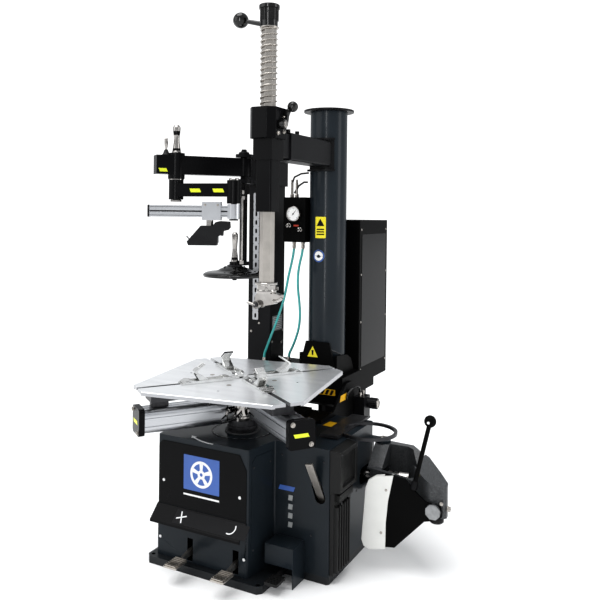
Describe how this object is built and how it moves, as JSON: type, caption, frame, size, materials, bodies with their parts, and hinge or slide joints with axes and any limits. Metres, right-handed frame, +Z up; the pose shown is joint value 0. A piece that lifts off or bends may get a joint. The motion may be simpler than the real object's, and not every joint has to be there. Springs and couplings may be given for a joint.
{
  "type": "tyre changer",
  "caption": "Floor-standing tyre changer: clamping turntable on a cabinet, tilting column with a mounting tool arm, swinging helper arm and side bead breaker.",
  "frame": {"origin": "on the floor, on the underside of the base frame, under the turntable's axis", "axes": "+Z up along the turntable's axis; +X to the right along the front panel; +Y to the back, towards the column"},
  "size_m": [1.1228, 1.2624, 1.944],
  "materials": {
    "cabinet_paint": "gloss slate grey",
    "black_paint": "gloss black",
    "base_paint": "satin dark grey",
    "hammer_grey": "speckled grey",
    "table_steel": "satin",
    "jaw_steel": "bright",
    "dark_steel": "blackened",
    "cast_housing": "painted",
    "cylinder_aluminium": "anodised",
    "black_aluminium": "black anodised",
    "chrome": "polished",
    "zinc": "zinc plated",
    "black_plastic": "moulded",
    "gloss_black_plastic": "gloss",
    "white_plastic": "moulded",
    "rubber": "moulded",
    "hose_blue": "smooth"
  },
  "bodies": {
    "machine": {"base_tray": "base_paint", "cabinet": "cabinet_paint", "front_cover": "black_paint", "lower_cover": "cabinet_paint", "deflector": "cabinet_paint", "pedal_guard": "cabinet_paint", "side_pad": "rubber", "gearmotor": "cast_housing", "pedal_shaft": "dark_steel", "tilt_bracket": "black_paint", "tilt_cylinder": "cylinder_aluminium", "air_unit": "black_plastic", "grease_ring": "dark_steel", "breaker_hinge": "cabinet_paint"},
    "turntable": {"spindle": "dark_steel", "guide_cross": "dark_steel", "table_plates": "table_steel", "rotary_hub": "chrome", "clamp_barrel_left": "cylinder_aluminium", "clamp_barrel_front": "cylinder_aluminium", "clamp_caps": "black_paint"},
    "left_jaw": {"jaw_left": "jaw_steel"},
    "right_jaw": {"jaw_right": "jaw_steel", "clamp_rod_left": "chrome"},
    "front_jaw": {"jaw_front": "jaw_steel"},
    "back_jaw": {"jaw_back": "jaw_steel", "clamp_rod_front": "chrome"},
    "left_pedal": {"pedal_left": "zinc"},
    "right_pedal": {"pedal_right": "zinc"},
    "inflation_pedal": {"side_pedal": "rubber"},
    "loose_lever": {"tyre_lever": "zinc"},
    "tilt_column": {"tilt_base": "black_paint", "column": "cabinet_paint", "column_head": "black_paint", "helper_post": "cabinet_paint", "air_panel": "black_paint", "tower_box": "black_paint", "hose_left": "hose_blue", "hose_right": "hose_blue"},
    "tilt_piston": {"tilt_rod": "chrome"},
    "tool_arm": {"arm_tube": "black_paint", "head_box": "black_paint", "shaft_spring": "zinc"},
    "tool": {"tool_shaft": "zinc", "shaft_cap": "gloss_black_plastic", "mount_head": "chrome"},
    "lock": {"lock_lever": "gloss_black_plastic"},
    "helper_lift": {"helper_carriage": "black_paint"},
    "helper_upper": {"upper_arm": "black_paint"},
    "helper_lower": {"lower_arm": "black_paint"},
    "helper_bar": {"slide_bar": "cylinder_aluminium"},
    "helper_press": {"bar_slider": "cylinder_aluminium", "press_block": "black_plastic"},
    "disc_swing": {"disc_arm": "black_paint"},
    "disc_roller": {"press_disc": "gloss_black_plastic"},
    "breaker": {"breaker_arm": "hammer_grey"},
    "breaker_ram_body": {"breaker_cylinder": "cylinder_aluminium"},
    "breaker_ram_rod": {"breaker_rod": "chrome"},
    "breaker_blade": {"blade": "black_paint", "blade_pad": "white_plastic"}
  },
  "joints": [
    {"name": "turntable_spin", "type": "hinge", "parent": "machine", "child": "turntable", "pos_m": [0, 0, 0.5], "axis": [0, 0, 1], "continuous": true},
    {"name": "jaw_back_slide", "type": "slide", "parent": "turntable", "child": "back_jaw", "axis": [-0.809, 0.5878, 0], "range_m": [0, 0.095]},
    {"name": "jaw_right_slide", "type": "slide", "parent": "turntable", "child": "right_jaw", "axis": [0.5878, 0.809, 0], "range_m": [0, 0.095]},
    {"name": "jaw_left_slide", "type": "slide", "parent": "turntable", "child": "left_jaw", "axis": [-0.5878, -0.809, 0], "range_m": [0, 0.095]},
    {"name": "jaw_front_slide", "type": "slide", "parent": "turntable", "child": "front_jaw", "axis": [0.809, -0.5878, 0], "range_m": [0, 0.095]},
    {"name": "left_pedal_hinge", "type": "hinge", "parent": "machine", "child": "left_pedal", "pos_m": [-0.091, 0.03, 0.067], "axis": [1, 0, 0], "range_deg": [0, 4.5], "stiffness_Nm_per_rad": 60, "springref_deg": -8.59},
    {"name": "right_pedal_hinge", "type": "hinge", "parent": "machine", "child": "right_pedal", "pos_m": [0.092, 0.03, 0.067], "axis": [1, 0, 0], "range_deg": [0, 4.5], "stiffness_Nm_per_rad": 60, "springref_deg": -8.59},
    {"name": "inflation_pedal_hinge", "type": "hinge", "parent": "machine", "child": "inflation_pedal", "pos_m": [0.228, 0.03, 0.067], "axis": [1, 0, 0], "range_deg": [0, 4.5], "stiffness_Nm_per_rad": 60, "springref_deg": -8.59},
    {"name": "tyre_lever_slide", "type": "slide", "parent": "machine", "child": "loose_lever", "axis": [-0.12, -0.4198, 0.8996], "range_m": [0, 0.09]},
    {"name": "column_tilt", "type": "hinge", "parent": "machine", "child": "tilt_column", "pos_m": [0.093, 0.455, 0.5], "axis": [-1, 0, 0], "range_deg": [0, 25]},
    {"name": "tilt_rod_slide", "type": "slide", "parent": "machine", "child": "tilt_piston", "axis": [0, -1, 0], "range_m": [0, 0.0475]},
    {"name": "arm_slide", "type": "slide", "parent": "tilt_column", "child": "tool_arm", "axis": [0, -1, 0], "range_m": [0, 0.15]},
    {"name": "tool_lower", "type": "slide", "parent": "tool_arm", "child": "tool", "axis": [0, 0, -1], "range_m": [0, 0.18], "deforming": ["shaft_spring"]},
    {"name": "lock_lever_turn", "type": "hinge", "parent": "tool_arm", "child": "lock", "pos_m": [0.1545, -0.006, 1.523], "axis": [1, 0, 0], "range_deg": [-40, 20]},
    {"name": "helper_lower", "type": "slide", "parent": "tilt_column", "child": "helper_lift", "axis": [0, 0, -1], "range_m": [0, 0.24]},
    {"name": "helper_upper_swing", "type": "hinge", "parent": "helper_lift", "child": "helper_upper", "pos_m": [-0.176, 0.27, 1.397], "axis": [0, 0, 1], "range_deg": [-60, 25]},
    {"name": "helper_lower_swing", "type": "hinge", "parent": "helper_upper", "child": "helper_lower", "pos_m": [-0.349, 0.057, 1.3], "axis": [0, 0, 1], "range_deg": [-50, 25]},
    {"name": "helper_bar_swing", "type": "hinge", "parent": "helper_lower", "child": "helper_bar", "pos_m": [-0.116, 0.107, 1.22], "axis": [0, 0, 1], "range_deg": [-40, 40]},
    {"name": "press_slide", "type": "slide", "parent": "helper_bar", "child": "helper_press", "axis": [-0.8854, -0.4648, 0], "range_m": [-0.015, 0.19]},
    {"name": "disc_arm_swing", "type": "hinge", "parent": "helper_lift", "child": "disc_swing", "pos_m": [-0.176, 0.27, 1.3], "axis": [0, 0, 1], "range_deg": [-35, 60]},
    {"name": "disc_spin", "type": "hinge", "parent": "disc_swing", "child": "disc_roller", "pos_m": [-0.2, 0.246, 0.98], "axis": [0, 0, 1], "continuous": true},
    {"name": "breaker_swing", "type": "hinge", "parent": "machine", "child": "breaker", "pos_m": [0.4, 0.352, 0.29], "axis": [0, 0, 1], "range_deg": [-1, 28]},
    {"name": "breaker_ram_swing", "type": "hinge", "parent": "machine", "child": "breaker_ram_body", "pos_m": [0.15, 0.238, 0.268], "axis": [0, 0, 1], "range_deg": [-2, 10]},
    {"name": "breaker_ram_stroke", "type": "slide", "parent": "breaker_ram_body", "child": "breaker_ram_rod", "axis": [0.9921, 0.1258, 0], "range_m": [-0.005, 0.04]},
    {"name": "blade_tilt", "type": "hinge", "parent": "breaker", "child": "breaker_blade", "pos_m": [0.66, 0.152, 0.24], "axis": [0.0698, -0.9976, 0], "range_deg": [-1, 12]}
  ],
  "couplings": [
    {"joint": "jaw_left_slide", "follows": "jaw_right_slide", "ratio": 1},
    {"joint": "jaw_front_slide", "follows": "jaw_right_slide", "ratio": 1},
    {"joint": "jaw_back_slide", "follows": "jaw_right_slide", "ratio": 1},
    {"joint": "tilt_rod_slide", "follows": "column_tilt", "m_per_rad": 0.1065},
    {"joint": "breaker_ram_swing", "follows": "breaker_swing", "ratio": 0.272},
    {"joint": "breaker_ram_stroke", "follows": "breaker_swing", "m_per_rad": 0.0665}
  ]
}
